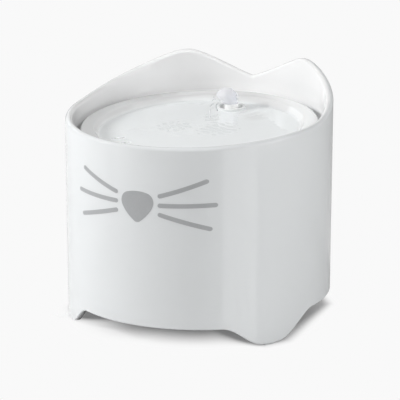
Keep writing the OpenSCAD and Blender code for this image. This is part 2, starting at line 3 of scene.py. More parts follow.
import bmesh
import bpy
from mathutils import Matrix, Vector, noise


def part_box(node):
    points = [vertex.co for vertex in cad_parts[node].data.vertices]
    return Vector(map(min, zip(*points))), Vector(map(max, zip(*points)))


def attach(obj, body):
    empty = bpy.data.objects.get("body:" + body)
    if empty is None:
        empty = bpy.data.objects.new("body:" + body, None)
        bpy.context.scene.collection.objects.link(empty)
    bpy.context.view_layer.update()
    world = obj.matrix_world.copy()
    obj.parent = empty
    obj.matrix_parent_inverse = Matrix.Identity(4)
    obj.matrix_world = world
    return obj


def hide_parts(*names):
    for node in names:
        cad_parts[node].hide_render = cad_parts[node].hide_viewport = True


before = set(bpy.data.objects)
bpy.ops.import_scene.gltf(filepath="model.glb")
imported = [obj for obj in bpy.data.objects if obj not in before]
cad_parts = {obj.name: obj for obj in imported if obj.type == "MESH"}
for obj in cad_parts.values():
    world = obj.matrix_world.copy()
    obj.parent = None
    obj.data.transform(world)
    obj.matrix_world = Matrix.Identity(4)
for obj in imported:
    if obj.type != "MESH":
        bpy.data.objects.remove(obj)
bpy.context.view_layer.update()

MM = 0.001
UP = Vector((0, 0, 1))


# ---- sizes of the fountain ----

def corners(node):
    """Lowest and highest corner of a part of the frame."""
    low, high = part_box(node)
    return Vector(low), Vector(high)


BODY_R = corners("housing")[1].x
PAD_H = corners("foot_pads")[1].z
COLLAR_LOW, COLLAR_HIGH = corners("spout_collar")
SPOUT_Y = (COLLAR_LOW.y + COLLAR_HIGH.y) / 2
COLLAR_R = COLLAR_HIGH.x
COLLAR_TOP = COLLAR_HIGH.z
CAP_R, CAP_TOP = corners("bubbler_cap")[1].xz
TRAY_R = corners("drinking_tray")[1].x

TILT = math.radians(5)
RIM_MID_H = 140.8 * MM
RIM_T = 5 * MM
RIM_ROUND = RIM_T / 2
WALL_T = 4 * MM
WALL_STEP_DEPTH = 18 * MM
TAPER_H = 4 * MM
LEDGE_T = 3 * MM
LEDGE_W = 16 * MM
LEDGE_H = 25 * MM
EDGE_R = 0.8 * MM

EAR_H = 19.19 * MM
EAR_ANGLE = 148
# The two slopes of an ear: span in degrees, roundness at the tip, and power of the curve
EAR_OUTER_SLOPE = (62, 0.10, 1.5)
EAR_INNER_SLOPE = (34, 0.25, 1.3)

# Lower edge, in degrees from the front: middles of the feet, and where the front arch meets its two feet
FOOT_FRONT_ANGLE = 57
FOOT_REAR_ANGLE = 138
FOOT_FLAT = math.degrees(9 * MM / 2 / BODY_R)
ARCH_RAMP = 26
ARCH_LOW_H = 14.1 * MM
ARCH_SIDE_H = 17.3 * MM
RIGHT_TOE, RIGHT_RAMP = 53.7, 18.4
LEFT_TOE, LEFT_RAMP = 45.5, 15.5

LIP_Z = RIM_MID_H - 9 * MM
LIP_T = 3.2 * MM
LIP_R = LIP_T / 2
BAND_R = TRAY_R - 9 * MM
BAND_DROP = 0.9 * MM
BASIN_DEPTH = 6.2 * MM
FOOT_R = BAND_R - 3.8 * MM
FLOOR_EDGE_R = 62.3 * MM
TRAY_T = 2.2 * MM
SKIRT_H = 9 * MM
SKIRT_R = TRAY_R - 4.2 * MM
SKIRT_T = 1.6 * MM
HOLE_R = 7.6 * MM
BOSS_R = HOLE_R + 2.1 * MM
BOSS_BASE_R = BOSS_R + 1.3 * MM
BOSS_H = 3 * MM
BOSS_DROP = 3 * MM
DRAIN_COUNT = 9
DRAIN_W = 2.6 * MM
DRAIN_L = 9 * MM
DRAIN_STEP = 12
DRAIN_R = BAND_R - BASIN_DEPTH - DRAIN_L / 2 - 4 * MM

TRAY_PLANE = Matrix.Translation((0, 0, LIP_Z)) @ Matrix.Rotation(TILT, 4, "X")


# ---- mesh tools ----

class Form:
    """A mesh built from loops of points that are joined side by side."""

    def __init__(self):
        self.bm = bmesh.new()

    def loop(self, points):
        return [self.bm.verts.new(p) for p in points]

    def strip(self, a, b, closed=True):
        for i in range(len(a) if closed else len(a) - 1):
            j = (i + 1) % len(a)
            self.bm.faces.new((a[i], a[j], b[j], b[i]))

    def skin(self, loops, closed=True):
        """Joins each loop of points to the next, and returns all of them as vertices."""
        made = [self.loop(points) for points in loops]
        for a, b in zip(made, made[1:]):
            self.strip(a, b, closed)
        return made

    def ring(self, loops):
        """A skin whose last loop joins its first."""
        made = self.skin(loops)
        self.strip(made[-1], made[0])

    def fan(self, loop, tip=None):
        """Joins a loop to a tip, or to its own middle."""
        if tip is None:
            tip = sum((v.co for v in loop), Vector()) / len(loop)
        v = self.bm.verts.new(tip)
        for i, a in enumerate(loop):
            self.bm.faces.new((a, loop[(i + 1) % len(loop)], v))

    def fill(self, *loops):
        """A flat face with holes between loops that lie in one plane."""
        edges = []
        for loop in loops:
            for i, a in enumerate(loop):
                b = loop[(i + 1) % len(loop)]
                edges.append(self.bm.edges.get((a, b)) or self.bm.edges.new((a, b)))
        bmesh.ops.triangle_fill(self.bm, use_beauty=True, use_dissolve=False, edges=edges)

    def object(self, name, material):
        mesh = bpy.data.meshes.new(name)
        self.bm.to_mesh(mesh)
        self.bm.free()
        mesh.materials.append(material)
        obj = bpy.data.objects.new(name, mesh)
        bpy.context.scene.collection.objects.link(obj)
        return obj

    def piece(self, name, material, body, stands_for=()):
        """The mesh as a piece of the fountain that rides on a body."""
        bmesh.ops.recalc_face_normals(self.bm, faces=self.bm.faces)
        obj = self.object(name, material)
        obj.data.shade_smooth()
        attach(obj, body)
        if stands_for:
            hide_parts(*stands_for)
        return obj


def rounded(points, steps=6, hold=0.35 * MM, closed=False):
    """An outline of (x, z, radius) corners, with arcs at the corners and a point held near the end of each arc."""
    count = len(points)
    out = []
    for i, (x, z, r) in enumerate(points):
        here = Vector((x, z))
        if r <= 0 or (not closed and i in (0, count - 1)):
            out.append(here)
            continue
        back = Vector(points[i - 1][:2]) - here
        ahead = Vector(points[(i + 1) % count][:2]) - here
        turn = math.pi - back.angle(ahead)
        cut = min(r * math.tan(turn / 2), 0.49 * back.length, 0.49 * ahead.length)
        r = cut / math.tan(turn / 2)
        back.normalize()
        ahead.normalize()
        middle = here + (back + ahead).normalized() * (r / math.cos(turn / 2))
        start = here + back * cut - middle
        side = 1 if back.cross(ahead) < 0 else -1
        out.append(here + back * (cut + hold))
        for k in range(steps + 1):
            a = side * turn * k / steps
            out.append(middle + Vector((start.x * math.cos(a) - start.y * math.sin(a),
                                        start.x * math.sin(a) + start.y * math.cos(a))))
        out.append(here + ahead * (cut + hold))
    return out


def arc(x, z, r, start, end, steps):
    """Points from one angle to another on a circle round (x, z)."""
    return [Vector((x + r * math.cos(a), z + r * math.sin(a)))
            for a in (start + (end - start) * i / steps for i in range(steps + 1))]


def angles(count):
    return [2 * math.pi * i / count for i in range(count)]


def circle(r, z, count, place=Matrix(), centre=(0, 0)):
    """Points of a level circle of radius r at height z, set by place."""
    return [place @ Vector((centre[0] + r * math.cos(a), centre[1] + r * math.sin(a), z)) for a in angles(count)]


def turned(outline, count, place=Matrix(), centre=(0, 0)):
    return [circle(r, z, count, place, centre) for r, z in outline]


# ---- node tools ----

def put(tree, socket, value):
    """Links a socket to the input, or sets the plain value on it."""
    if isinstance(value, bpy.types.NodeSocket):
        tree.links.new(value, socket)
    elif value is not None:
        socket.default_value = value


def feed(tree, node, inputs):
    for key, value in inputs.items():
        put(tree, node.inputs[key], value)


def with_settings(thing, **settings):
    for key, value in settings.items():
        setattr(thing, key, value)
    return thing


def add(tree, kind, inputs={}, **settings):
    node = with_settings(tree.nodes.new(kind), **settings)
    feed(tree, node, inputs)
    return node


def maths(tree, operation, a, b=None, c=None, clamp=False):
    node = add(tree, "ShaderNodeMath", operation=operation, use_clamp=clamp)
    for socket, value in zip(node.inputs, (a, b, c)):
        put(tree, socket, value)
    return node.outputs[0]


def times(tree, value, *others, clamp=False):
    for other in others:
        value = maths(tree, "MULTIPLY", value, other, clamp=clamp)
    return value


def times_plus(tree, a, b, c):
    return maths(tree, "MULTIPLY_ADD", a, b, c)


def minus(tree, a, b):
    return maths(tree, "SUBTRACT", a, b)


def vectors(tree, operation, a, b=None):
    node = add(tree, "ShaderNodeVectorMath", {0: a, 1: b}, operation=operation)
    return node.outputs["Value" if operation in ("DOT_PRODUCT", "LENGTH") else "Vector"]


def ranged(tree, value, low, high, to_low=0.0, to_high=1.0, smooth=True):
    inputs = {"Value": value, "From Min": low, "From Max": high, "To Min": to_low, "To Max": to_high}
    kind = "SMOOTHSTEP" if smooth else "LINEAR"
    return add(tree, "ShaderNodeMapRange", inputs, clamp=True, interpolation_type=kind).outputs[0]


def mixed(tree, factor, a, b):
    return add(tree, "ShaderNodeMix", {0: factor, 6: a, 7: b}, data_type="RGBA").outputs[2]


def noise_of(tree, vector, scale, detail=3.0, rough=0.5, distortion=0.0):
    inputs = {"Vector": vector, "Scale": scale, "Detail": detail, "Roughness": rough, "Distortion": distortion}
    return add(tree, "ShaderNodeTexNoise", inputs).outputs[0]


def cells_of(tree, vector, scale):
    return add(tree, "ShaderNodeTexVoronoi", {"Vector": vector, "Scale": scale}, feature="F1").outputs


def place_of(tree):
    """Object coordinates, which are metres in the frame of the fountain."""
    return add(tree, "ShaderNodeTexCoord").outputs["Object"]


def normal_of(tree):
    return add(tree, "ShaderNodeNewGeometry").outputs["Normal"]


def from_axis(tree, place):
    """Level direction from the axis of the fountain through a place, and how far from it the place is."""
    level = vectors(tree, "MULTIPLY", place, (1, 1, 0))
    return vectors(tree, "NORMALIZE", level), vectors(tree, "LENGTH", level)


def toward(tree, outward, way, low, high):
    """Mask that rises as a level direction turns to a given way."""
    return ranged(tree, vectors(tree, "DOT_PRODUCT", outward, way), low, high)


def group(name, inputs, outputs):
    """An empty shader node group with inputs (name: default) and named outputs."""
    tree = bpy.data.node_groups.new(name, "ShaderNodeTree")
    kinds = {1: "NodeSocketFloat", 3: "NodeSocketVector", 4: "NodeSocketColor"}
    for key, default in inputs.items():
        kind = kinds[len(default) if isinstance(default, tuple) else 1]
        tree.interface.new_socket(name=key, in_out="INPUT", socket_type=kind).default_value = default
    for key in outputs:
        tree.interface.new_socket(name=key, in_out="OUTPUT", socket_type=kinds[4 if key == "Color" else 1])
    return tree, add(tree, "NodeGroupInput").outputs, add(tree, "NodeGroupOutput").inputs


def use(tree, made, **values):
    """The outputs of a group, fed with values whose names have _ for a space."""
    inputs = {key.replace("_", " "): value for key, value in values.items()}
    return add(tree, "ShaderNodeGroup", inputs, node_tree=made).outputs


def grey(level, warm=0.0):
    return (level * (1 + warm), level, level * (1 - warm), 1)


# ---- shared effects ----

def make_moulded_skin():
    """Slow drift of tone and gloss over a moulding, with the faint ripple of a polished mould."""
    inputs = {"Color": grey(0.8), "Tone": 0.03, "Roughness": 0.2, "Gloss Drift": 0.05,
              "Drift Scale": 30.0, "Peel Scale": 700.0}
    tree, inp, out = group("moulded_skin", inputs, ["Color", "Roughness", "Height"])
    place = place_of(tree)
    drift = noise_of(tree, place, inp["Drift Scale"], 4.0, 0.55)
    swing = times(tree, minus(tree, drift, 0.5), 2.0)
    darker = times(tree, minus(tree, 1.0, drift), inp["Tone"], clamp=True)
    put(tree, out["Color"], mixed(tree, darker, inp["Color"], (0.45, 0.46, 0.47, 1)))
    put(tree, out["Roughness"], times_plus(tree, swing, inp["Gloss Drift"], inp["Roughness"]))
    put(tree, out["Height"], noise_of(tree, place, inp["Peel Scale"], 2.0, 0.4))
    return tree


def make_edge_wear():
    """Mask that is 1 along worn outer edges."""
    tree, inp, out = group("edge_wear", {"Width": 0.5 * MM, "Amount": 0.5, "Break Up": 160.0}, ["Mask"])
    bevel = add(tree, "ShaderNodeBevel", {"Radius": inp["Width"]}, samples=4)
    edge = ranged(tree, vectors(tree, "DOT_PRODUCT", bevel.outputs[0], normal_of(tree)), 0.995, 0.80)
    patchy = ranged(tree, noise_of(tree, place_of(tree), inp["Break Up"], 5.0, 0.6), 0.35, 0.7)
    put(tree, out["Mask"], times(tree, edge, patchy, inp["Amount"], clamp=True))
    return tree


def make_fine_dust():
    """Mask of dust that lies on surfaces that face up."""
    tree, inp, out = group("fine_dust", {"Amount": 0.3, "Scale": 260.0}, ["Mask"])
    facing = add(tree, "ShaderNodeSeparateXYZ", {0: normal_of(tree)})
    up = ranged(tree, facing.outputs["Z"], 0.3, 1.0)
    place = place_of(tree)
    specks = ranged(tree, noise_of(tree, place, inp["Scale"], 8.0, 0.7), 0.5, 0.75)
    film = ranged(tree, noise_of(tree, place, 25.0, 3.0), 0.3, 0.8, 0.2, 0.7)
    put(tree, out["Mask"], times(tree, up, maths(tree, "MAXIMUM", specks, film), inp["Amount"], clamp=True))
    return tree


def make_water_marks():
    """Mask of dried drops and a tide line: rings with a paler middle."""
    tree, inp, out = group("water_marks", {"Amount": 0.3, "Drop Scale": 90.0}, ["Mask"])
    place = place_of(tree)
    cells = cells_of(tree, place, inp["Drop Scale"])
    ring = ranged(tree, maths(tree, "ABSOLUTE", minus(tree, cells["Distance"], 0.27)), 0.05, 0.0)
    some = ranged(tree, noise_of(tree, place, 40.0, 2.0), 0.52, 0.62)
    haze = ranged(tree, noise_of(tree, place, 120.0, 6.0, 0.65), 0.5, 0.8, 0.0, 0.35)
    marks = maths(tree, "MAXIMUM", times(tree, ring, some), haze)
    put(tree, out["Mask"], times(tree, marks, inp["Amount"], clamp=True))
    return tree


def make_grains():
    """Packed grains, each with a tone of its own."""
    tree, inp, out = group("packed_grains", {"Scale": 900.0}, ["Tone", "Height"])
    cells = cells_of(tree, place_of(tree), inp["Scale"])
    put(tree, out["Tone"], add(tree, "ShaderNodeSeparateColor", {0: cells["Color"]}).outputs[0])
    put(tree, out["Height"], minus(tree, 1.0, cells["Distance"]))
    return tree


def make_felt():
    """Needled felt: matted fibres over soft lumps."""
    tree, inp, out = group("matted_fibres", {"Scale": 500.0}, ["Tone", "Height"])
    place = place_of(tree)
    fibres = noise_of(tree, place, inp["Scale"], 6.0, 0.7, 2.5)
    put(tree, out["Tone"], fibres)
    put(tree, out["Height"], times_plus(tree, noise_of(tree, place, 90.0, 3.0), 1.5, fibres))
    return tree


# Level ways from the axis that place the painted light and shade: to the wall across from the key light, its left
# ear and left end, the left end of its outer face, the shaded side of the basin and the bright streak on its
# shoulder
BRIGHT_WAY = (0.71, 0.71, 0)
LEFT_EAR_WAY = (-0.34, 0.94, 0)
LEFT_END_WAY = (-0.95, -0.3, 0)
OUTER_END_WAY = (-0.86, -0.51, 0)
SHADED_WAY = (-0.88, -0.47, 0)
STREAK_WAY = (0.743, 0.669, 0)


def make_wall_painted_light():
    """Masks of the inner faces of a round wall and of the low ones of them, which get painted shade, and painted
    light (emission) for the light that the wall catches.
    """
    # Bounce, Glow, Fill and Outer Glow are amounts of painted light: emission on the wall, not lamp light
    inputs = {"Level": 0.13, "Slope": 0.09, "Deep From": 3.5 * MM, "Reach": 10 * MM, "Bounce": 0.13,
              "Glow": 0.11, "Fill": 0.085, "Outer Glow": 0.08}
    tree, inp, out = group("inner_wall_painted_light", inputs, ["Inner", "Painted Shade", "Lift"])
    place = place_of(tree)
    outward = from_axis(tree, place)[0]
    inner = toward(tree, outward, normal_of(tree), 0.6, -0.6)
    put(tree, out["Inner"], inner)
    bright_side = toward(tree, outward, BRIGHT_WAY, -0.8, 0.5)
    left_ear = toward(tree, outward, LEFT_EAR_WAY, 0.6, 0.97)
    left_end = toward(tree, outward, LEFT_END_WAY, 0.8, 0.98)
    xyz = add(tree, "ShaderNodeSeparateXYZ", {0: place}).outputs
    above = minus(tree, xyz["Z"], times_plus(tree, xyz["Y"], inp["Slope"], inp["Level"]))
    below = minus(tree, times(tree, above, -1.0), inp["Deep From"])
    # Painted shade: the low inner faces away from the bright side are darkened
    low = times(tree, inner, ranged(tree, below, 0.0, 3 * MM))
    put(tree, out["Painted Shade"], times(tree, low, minus(tree, 1.0, bright_side)))
    # Painted light: near the lip on the bright side, on the left ear, at the low left end and on the left end of
    # the outer face
    near = maths(tree, "POWER", ranged(tree, above, inp["Reach"], -1 * MM, smooth=False), 2.0)
    painted_light = times_plus(tree, left_ear, inp["Glow"], times(tree, near, bright_side, inp["Bounce"]))
    low_end = times(tree, left_end, ranged(tree, above, 6 * MM, -3 * MM))
    painted_light = times_plus(tree, low_end, inp["Fill"], painted_light)
    outer_end = toward(tree, outward, OUTER_END_WAY, 0.965, 0.999)
    outer_painted_light = times(tree, outer_end, inp["Outer Glow"], minus(tree, 1.0, inner))
    put(tree, out["Lift"], times_plus(tree, painted_light, inner, outer_painted_light))
    return tree


def make_soft_patch():
    """A soft round mask about a place."""
    tree, inp, out = group("soft_patch", {"Middle": (0, 0, 0), "Size": (0.01, 0.01, 0.01)}, ["Mask"])
    apart = vectors(tree, "SUBTRACT", place_of(tree), inp["Middle"])
    far = vectors(tree, "LENGTH", vectors(tree, "DIVIDE", apart, inp["Size"]))
    put(tree, out["Mask"], ranged(tree, far, 1.0, 0.4))
    return tree


def make_basin_painted_light():
    """Painted light on the shaded side of a basin, standing in for light that the water scatters there, and masks
    of its back band and shoulder, which get painted shade.
    """
    inputs = {"Low R": 0.066, "High R": 0.07, "Amount": 0.15}
    tree, inp, out = group("basin_painted_light", inputs, ["Lift", "Band Shade", "Shoulder Shade"])
    outward, r = from_axis(tree, place_of(tree))

    def between(key, start, end):
        return ranged(tree, r, maths(tree, "ADD", inp[key], start), maths(tree, "ADD", inp[key], end))

    shaded = toward(tree, outward, SHADED_WAY, 0.0, 0.8)
    # Painted light: emission in a ring about the shoulder on the shaded side
    painted_light = times(tree, between("Low R", -6 * MM, 0), between("High R", 1.5 * MM, 0), shaded, inp["Amount"])
    put(tree, out["Lift"], painted_light)
    # Painted shade on the back band, on the steep shoulder near the bright streak but not on it, and on the shaded
    # side
    back = toward(tree, outward, LEFT_EAR_WAY, 0.55, 0.95)
    put(tree, out["Band Shade"], times(tree, between("High R", 0, 3 * MM), back))
    steep = times(tree, between("High R", -3 * MM, 0), between("High R", 4 * MM, 2 * MM))
    lit = times(tree, toward(tree, outward, STREAK_WAY, 0.5, 0.9), toward(tree, outward, STREAK_WAY, 0.99, 0.97))
    put(tree, out["Shoulder Shade"], times(tree, steep, maths(tree, "MAXIMUM", lit, times(tree, shaded, 0.6))))
    return tree


MOULDED_SKIN = make_moulded_skin()
WALL_PAINTED_LIGHT = make_wall_painted_light()
BASIN_PAINTED_LIGHT = make_basin_painted_light()
SOFT_PATCH = make_soft_patch()
EDGE_WEAR = make_edge_wear()
FINE_DUST = make_fine_dust()
WATER_MARKS = make_water_marks()
PACKED_GRAINS = make_grains()
MATTED_FIBRES = make_felt()


# ---- materials ----

def new_material(name):
    mat = bpy.data.materials.new(name)
    mat.use_nodes = True
    mat.node_tree.nodes.clear()
    return mat, mat.node_tree


def show(tree, shader):
    add(tree, "ShaderNodeOutputMaterial", {"Surface": shader.outputs[0]})


def mix_shaders(tree, factor, a, b):
    return add(tree, "ShaderNodeMixShader", {0: factor, 1: a.outputs[0], 2: b.outputs[0]})


def emission(tree, strength):
    return add(tree, "ShaderNodeEmission", {"Color": grey(1), "Strength": strength})


def principled(name):
    """A new material: its node tree and its Principled shader."""
    mat, tree = new_material(name)
    shader = add(tree, "ShaderNodeBsdfPrincipled")
    show(tree, shader)
    return mat, tree, shader


def bump(tree, shader, height, strength, distance):
    inputs = {"Strength": strength, "Distance": distance, "Height": height}
    put(tree, shader.inputs["Normal"], add(tree, "ShaderNodeBump", inputs).outputs[0])


def plastic(name, color, roughness=0.2, tone=0.04, gloss_drift=0.04, peel=0.03, peel_scale=700.0,
            wear=0.0, wear_color=grey(0.75), dust=0.0, marks=0.0, transmission=0.0, inner=None, painted_shade=None,
            painted_basin_light=0.0, painted_glow=0.0):
    """A moulded plastic with worn edges, dust and water marks, the painted light and shade that its place in a wall
    or basin adds, and on request a painted glow.
    """
    mat, tree, shader = principled(name)
    skin = use(tree, MOULDED_SKIN, Color=color, Tone=tone, Roughness=roughness, Gloss_Drift=gloss_drift,
               Peel_Scale=peel_scale)
    shade, rough = skin["Color"], skin["Roughness"]
    # In a wall, inner faces get a lighter tint and low inner faces a darker one as painted light and shade; in a
    # basin the back band and shoulder get painted shade
    if inner:
        masks = use(tree, WALL_PAINTED_LIGHT, Level=LIP_Z, Slope=math.tan(TILT))
        tints = {"Inner": inner, "Painted Shade": painted_shade}
    elif painted_basin_light:
        masks = use(tree, BASIN_PAINTED_LIGHT, Low_R=FOOT_R - 0.5 * MM, High_R=FOOT_R + 1 * MM, Amount=painted_basin_light)
        tints = {"Band Shade": grey(0.70), "Shoulder Shade": grey(0.76)}
    if inner or painted_basin_light:
        for mask, tint in tints.items():
            shade = mixed(tree, masks[mask], shade, tint)
        # Painted light: emission from the light mask of the wall or basin
        light = mixed(tree, masks["Lift"], grey(0), grey(1))
        feed(tree, shader, {"Emission Color": light, "Emission Strength": 1.0})
    # Painted glow: emission on a part that is no lamp
    if painted_glow:
        feed(tree, shader, {"Emission Color": grey(1), "Emission Strength": painted_glow})
    for effect, amount, tint, duller in ((EDGE_WEAR, wear, wear_color, 0.25),
                                         (WATER_MARKS, marks, grey(0.78, 0.02), 0.4),
                                         (FINE_DUST, dust, grey(0.5, 0.06), 0.5)):
        if amount:
            mask = use(tree, effect, Amount=amount)["Mask"]
            shade = mixed(tree, mask, shade, tint)
            rough = times_plus(tree, mask, duller, rough)
    feed(tree, shader, {"Base Color": shade, "Roughness": rough, "Transmission Weight": transmission})
    bump(tree, shader, skin["Height"], peel, 0.1 * MM)
    return mat


def make_print_ink(dark, light):
    """Flat ink with a fine screen-printed grain."""
    mat, tree, shader = principled("print_ink")
    grains = use(tree, PACKED_GRAINS, Scale=2600.0)
    drift = noise_of(tree, place_of(tree), 60.0, 4.0)
    tone = times_plus(tree, grains["Tone"], 0.25, times(tree, drift, 0.6))
    feed(tree, shader, {"Base Color": mixed(tree, tone, dark, light),
                        "Roughness": ranged(tree, drift, 0.3, 0.7, 0.42, 0.52)})
    bump(tree, shader, grains["Height"], 0.05, 0.05 * MM)
    return mat


def grained(name, effect, scale, dark, light, tones, roughness, relief, depth, sheen=0.0):
    """Packed grains or fibres whose color and roughness follow their tone."""
    mat, tree, shader = principled(name)
    grains = use(tree, effect, Scale=scale)
    feed(tree, shader, {"Base Color": mixed(tree, grains["Tone"], dark, light),
                        "Roughness": ranged(tree, grains["Tone"], *tones, *roughness),
                        "Sheen Weight": sheen, "Sheen Roughness": 0.5})
    bump(tree, shader, grains["Height"], relief, depth)
    return mat


def make_clear(name, tint, ior, roughness=0.0, ripple=0.0, ripple_scale=300.0, milk=0.0, edge=None, painted_glow=0.0,
               painted_mirrored_glow=0.0, shadow=1.0, painted_shadow_patch=None):
    """Clear plastic or water that lets lamp light through, on request milky, with a painted shadow patch, a painted
    dark edge or a painted glow.
    """
    mat, tree = new_material(name)
    shader = add(tree, "ShaderNodeBsdfPrincipled", {"Base Color": tint, "Transmission Weight": 1.0 - milk,
                                                    "IOR": ior, "Roughness": roughness})
    # Painted dark edge: the tint goes dark where the surface turns away from view
    if edge:
        facing = add(tree, "ShaderNodeLayerWeight", {"Blend": 0.35}).outputs["Facing"]
        feed(tree, shader, {"Base Color": mixed(tree, facing, tint, edge)})
    # Painted shadow: a soft patch where the tint goes darker
    if painted_shadow_patch:
        mask = use(tree, SOFT_PATCH, Middle=painted_shadow_patch[0], Size=painted_shadow_patch[1])["Mask"]
        feed(tree, shader, {"Base Color": mixed(tree, mask, tint, grey(painted_shadow_patch[2]))})
    if ripple:
        bump(tree, shader, noise_of(tree, place_of(tree), ripple_scale, 3.0, 0.5, 0.6), ripple, 0.3 * MM)
    path = add(tree, "ShaderNodeLightPath").outputs
    # Painted glow: emission on the outer face, stronger as seen in reflections
    if painted_glow:
        outer = minus(tree, 1.0, add(tree, "ShaderNodeNewGeometry").outputs["Backfacing"])
        mirrored = times(tree, path["Is Glossy Ray"], path["Is Reflection Ray"])
        strength = times(tree, times_plus(tree, mirrored, painted_mirrored_glow, painted_glow), outer)
        feed(tree, shader, {"Emission Color": tint, "Emission Strength": strength})
    passed = tuple(shadow * (0.3 + 0.7 * c) for c in tint[:3]) + (1,)
    through = maths(tree, "MAXIMUM", path["Is Shadow Ray"], path["Is Diffuse Ray"])
    show(tree, mix_shaders(tree, through, shader, add(tree, "ShaderNodeBsdfTransparent", {0: passed})))
    return mat


# Painted light and shade on the shell: inner faces painted lighter than the outer ones, low inner faces painted
# darker, and emission on the wall
SHELL = plastic(
    "gloss_white_shell", (0.772, 0.79, 0.797, 1), roughness=0.07, tone=0.02, gloss_drift=0.015, peel=0.02,
    peel_scale=420.0, wear=0.12, wear_color=grey(0.7), inner=grey(0.88), painted_shade=grey(0.36))
# Painted light on the shaded side of the basin, and painted shade on its back band and shoulder
TRAY_PLASTIC = plastic(
    "gloss_white_tray", (0.87, 0.88, 0.88, 1), roughness=0.12, tone=0.02, gloss_drift=0.03, peel=0.02, marks=0.10,
    painted_basin_light=0.065)
# The spout ring carries a painted glow: emission that stands in for light
RING_PLASTIC = plastic("gloss_white_ring", grey(0.90), roughness=0.12, tone=0.02, peel=0.02, painted_glow=0.17)
INK = make_print_ink(grey(0.39, -0.02), grey(0.49, -0.02))
SILICONE = plastic(
    "milky_silicone", (0.78, 0.8, 0.8, 1), roughness=0.45, tone=0.06, peel=0.15, peel_scale=1500.0, dust=0.15,
    transmission=0.15)
TANK_PLASTIC = plastic(
    "smoky_tank_plastic", (0.20, 0.215, 0.23, 1), roughness=0.22, tone=0.05, marks=0.2, wear=0.2,
    wear_color=grey(0.35))
BOX_PLASTIC = plastic("smoky_box_plastic", (0.62, 0.66, 0.69, 1), roughness=0.25, tone=0.06, marks=0.3, wear=0.2)
FRAME_PLASTIC = plastic(
    "satin_frame_plastic", (0.82, 0.83, 0.83, 1), roughness=0.4, tone=0.05, peel=0.2, peel_scale=1800.0, wear=0.2)
PUMP_PLASTIC = plastic(
    "black_pump_plastic", grey(0.022), roughness=0.42, tone=0.1, peel=0.35, peel_scale=2600.0, wear=0.4,
    wear_color=grey(0.12), marks=0.12)
COVER_PLASTIC = plastic(
    "dark_cover_plastic", grey(0.075, -0.04), roughness=0.4, tone=0.12, peel=0.3, peel_scale=2600.0, wear=0.4,
    wear_color=grey(0.2), marks=0.12)
DIAL_PLASTIC = plastic(
    "grey_dial_plastic", grey(0.33, -0.02), roughness=0.35, tone=0.1, peel=0.2, peel_scale=2200.0, wear=0.3,
    wear_color=grey(0.5))
IMPELLER_PLASTIC = plastic(
    "white_impeller_plastic", grey(0.78, 0.01), roughness=0.28, tone=0.05, wear=0.2, marks=0.15)
RUBBER = plastic(
    "soft_grey_rubber", grey(0.17, -0.03), roughness=0.62, tone=0.12, peel=0.4, peel_scale=1900.0, dust=0.25)
CERAMIC = plastic("ivory_ceramic", (0.82, 0.79, 0.71, 1), roughness=0.12, peel_scale=2500.0)
FERRITE = grained(
    "sintered_ferrite", PACKED_GRAINS, 1500.0, grey(0.03), grey(0.075, 0.04), (0.0, 1.0), (0.38, 0.55), 0.3,
    0.08 * MM)
GRANULES = grained(
    "carbon_granules", PACKED_GRAINS, 750.0, grey(0.012), grey(0.05), (0.0, 1.0), (0.35, 0.75), 0.9, 0.6 * MM)
FELT = grained(
    "filter_felt", MATTED_FIBRES, 420.0, grey(0.62, 0.01), grey(0.9), (0.2, 0.8), (0.8, 0.98), 0.8, 0.35 * MM,
    sheen=0.35)
# The cap stands in water, so its index is the one of its plastic over the one of water
CLEAR_CAP = make_clear("clear_cap_plastic", (0.95, 0.96, 0.98, 1), 1.12, 0.03, 0.05, 500.0)
# The water has a painted shadow patch beside the spout
WATER = make_clear(
    "water", (0.975, 0.99, 0.995, 1), 1.333, 0.0, 0.04, 90.0,
    painted_shadow_patch=((0.0255, 0.037, LIP_Z), (0.012, 0.014, 0.05), 0.85))
# The welling water has a painted glow, stronger in its reflections
WELLING_WATER = make_clear(
    "welling_water", (0.96, 0.96, 0.985, 1), 1.12, 0.05, 0.10, 260.0, milk=0.5, painted_glow=0.10, painted_mirrored_glow=0.5,
    shadow=0.55)
# The falling water has a painted dark edge
FALLING_WATER = make_clear("falling_water", (0.9, 0.92, 0.93, 1), 1.333, edge=grey(0.2))


# ---- housing ----

def soften(t, e):
    return (math.sqrt(t * t + e * e) - e) / (math.sqrt(1 + e * e) - e)


def ear_rise(a):
    """Rise of an ear above the sloping rim at an angle of 0 (front) to 180 (back)."""
    span, tip, power = EAR_OUTER_SLOPE if a < EAR_ANGLE else EAR_INNER_SLOPE
    s = soften(min(1, abs(a - EAR_ANGLE) / span), tip)
    return EAR_H * max(0, 1 - s) ** power


def rim_base(a):
    return RIM_MID_H - (BODY_R - RIM_ROUND) * math.cos(math.radians(a)) * math.tan(TILT)


def edge_z(a):
    """Height of the lower edge at an angle from the front, right positive: flat feet that sweep into arches."""
    front, rear = abs(a) - FOOT_FRONT_ANGLE, abs(a) - FOOT_REAR_ANGLE
    t = (min(abs(front), abs(rear)) - FOOT_FLAT) / (ARCH_RAMP - FOOT_FLAT)
    if front < 0:
        t = (RIGHT_TOE - a) / RIGHT_RAMP if a > 0 else (LEFT_TOE + a) / LEFT_RAMP
    top = ARCH_SIDE_H if front > 0 > rear else ARCH_LOW_H
    return PAD_H + (top - PAD_H) * math.sin(math.pi / 2 * min(1, max(0, t))) ** 2


